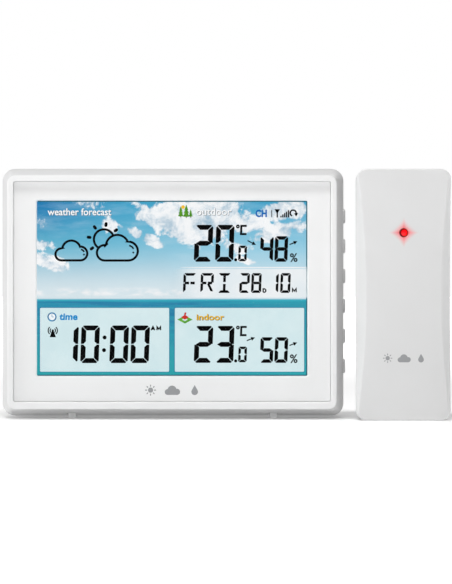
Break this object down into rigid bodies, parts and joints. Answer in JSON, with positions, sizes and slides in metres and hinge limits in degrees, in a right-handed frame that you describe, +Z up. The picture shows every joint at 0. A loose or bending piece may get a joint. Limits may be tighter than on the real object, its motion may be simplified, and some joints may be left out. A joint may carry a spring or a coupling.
{
  "type": "home weather station",
  "caption": "Upright desk weather display with side buttons, fold-out stand and battery bay, beside its free-standing battery outdoor temperature sensor.",
  "frame": {"origin": "on the surface that the pair stands on, under the middle of the box that holds the console and the sensor", "axes": "+Z up; both fronts face -Y; +X runs from the console to the sensor, to the right as seen from the front"},
  "size_m": [0.1948, 0.029, 0.1093],
  "materials": {
    "frame_white": "satin moulded white plastic, light gloss",
    "bezel_white": "fine matt white plastic",
    "housing_white": "fine spark-textured white plastic",
    "sensor_white": "fine textured white plastic",
    "clear_lens": "clear polished acrylic",
    "lcd_glass": "liquid crystal glass with polariser",
    "sky_film": "printed colour film lit from behind",
    "display_dark": "dark liquid crystal segment",
    "light_guide": "milky acrylic",
    "holder_plastic": "moulded plastic",
    "circuit_board": "green solder mask on glass fibre",
    "black_plastic": "black moulded plastic",
    "plated_steel": "nickel-plated steel",
    "coil_brass": "bare copper-coloured wire",
    "cell_wrap": "printed plastic sleeve on a steel can",
    "grey_rubber": "silicone rubber",
    "white_rubber": "white soft plastic",
    "red_lamp": "tinted clear lamp"
  },
  "bodies": {
    "console": {"front_frame": "frame_white", "inner_bezel": "bezel_white", "display_lens": "clear_lens", "lcd_panel": "lcd_glass", "colour_film": "sky_film", "light_guide": "light_guide", "backlight_strip": "circuit_board", "lcd_holder": "holder_plastic", "elastomer_connector": "grey_rubber", "main_pcb": "circuit_board", "button_pcb": "circuit_board", "tact_switch_1": "black_plastic", "tact_switch_2": "black_plastic", "tact_switch_3": "black_plastic", "tact_switch_4": "black_plastic", "tact_switch_5": "black_plastic", "tact_switch_6": "black_plastic", "rear_housing": "housing_white", "console_battery_1": "cell_wrap", "console_battery_2": "cell_wrap", "console_battery_3": "cell_wrap", "battery_contacts_left": "plated_steel", "battery_contacts_right": "plated_steel", "dc_jack": "black_plastic", "buzzer": "black_plastic", "receiver_antenna": "coil_brass", "indoor_probe": "circuit_board", "case_screw_1": "plated_steel", "case_screw_2": "plated_steel", "case_screw_3": "plated_steel", "case_screw_4": "plated_steel", "foot_left": "white_rubber", "foot_right": "white_rubber"},
    "side_button_1": {"side_button_1": "housing_white"},
    "side_button_2": {"side_button_2": "housing_white"},
    "side_button_3": {"side_button_3": "housing_white"},
    "side_button_4": {"side_button_4": "housing_white"},
    "side_button_5": {"side_button_5": "housing_white"},
    "side_button_6": {"side_button_6": "housing_white"},
    "stand": {"stand_leg": "housing_white"},
    "battery_door": {"battery_door": "housing_white"},
    "sensor": {"sensor_front_shell": "sensor_white", "sensor_rear_shell": "sensor_white", "sensor_seal": "grey_rubber", "status_led": "red_lamp", "sensor_pcb": "circuit_board", "sensor_antenna": "coil_brass", "thermistor_probe": "black_plastic", "sensor_battery_1": "cell_wrap", "sensor_battery_2": "cell_wrap", "sensor_contact_springs": "plated_steel", "sensor_contact_plate": "plated_steel", "sensor_screw_1": "plated_steel", "sensor_screw_2": "plated_steel", "sensor_screw_3": "plated_steel", "sensor_screw_4": "plated_steel"},
    "sensor_cover": {"sensor_battery_cover": "sensor_white"},
    "channel_switch": {"channel_switch": "black_plastic"},
    "test_button": {"test_button": "black_plastic"}
  },
  "joints": [
    {"name": "side_button_1_press", "type": "slide", "parent": "console", "child": "side_button_1", "axis": [-1, 0, 0], "range_m": [0, 0.0006], "stiffness_N_per_m": 1500},
    {"name": "side_button_2_press", "type": "slide", "parent": "console", "child": "side_button_2", "axis": [-1, 0, 0], "range_m": [0, 0.0006], "stiffness_N_per_m": 1500},
    {"name": "side_button_3_press", "type": "slide", "parent": "console", "child": "side_button_3", "axis": [-1, 0, 0], "range_m": [0, 0.0006], "stiffness_N_per_m": 1500},
    {"name": "side_button_4_press", "type": "slide", "parent": "console", "child": "side_button_4", "axis": [-1, 0, 0], "range_m": [0, 0.0006], "stiffness_N_per_m": 1500},
    {"name": "side_button_5_press", "type": "slide", "parent": "console", "child": "side_button_5", "axis": [-1, 0, 0], "range_m": [0, 0.0006], "stiffness_N_per_m": 1500},
    {"name": "side_button_6_press", "type": "slide", "parent": "console", "child": "side_button_6", "axis": [-1, 0, 0], "range_m": [0, 0.0006], "stiffness_N_per_m": 1500},
    {"name": "stand_fold", "type": "hinge", "parent": "console", "child": "stand", "pos_m": [-0.0224, 0.0125, 0.0496], "axis": [1, 0, 0], "range_deg": [0, 50]},
    {"name": "battery_door_lift_off", "type": "slide", "parent": "console", "child": "battery_door", "axis": [0, 1, 0], "range_m": [0, 0.04]},
    {"name": "sensor_lift", "type": "slide", "parent": "console", "child": "sensor", "axis": [0, 0, 1], "range_m": [0, 0.15]},
    {"name": "sensor_cover_lift_off", "type": "slide", "parent": "sensor", "child": "sensor_cover", "axis": [0, 1, 0], "range_m": [0, 0.03]},
    {"name": "channel_switch_slide", "type": "slide", "parent": "sensor", "child": "channel_switch", "axis": [1, 0, 0], "range_m": [0, 0.004]},
    {"name": "test_button_press", "type": "slide", "parent": "sensor", "child": "test_button", "axis": [0, -1, 0], "range_m": [0, 0.0005], "stiffness_N_per_m": 1500}
  ]
}
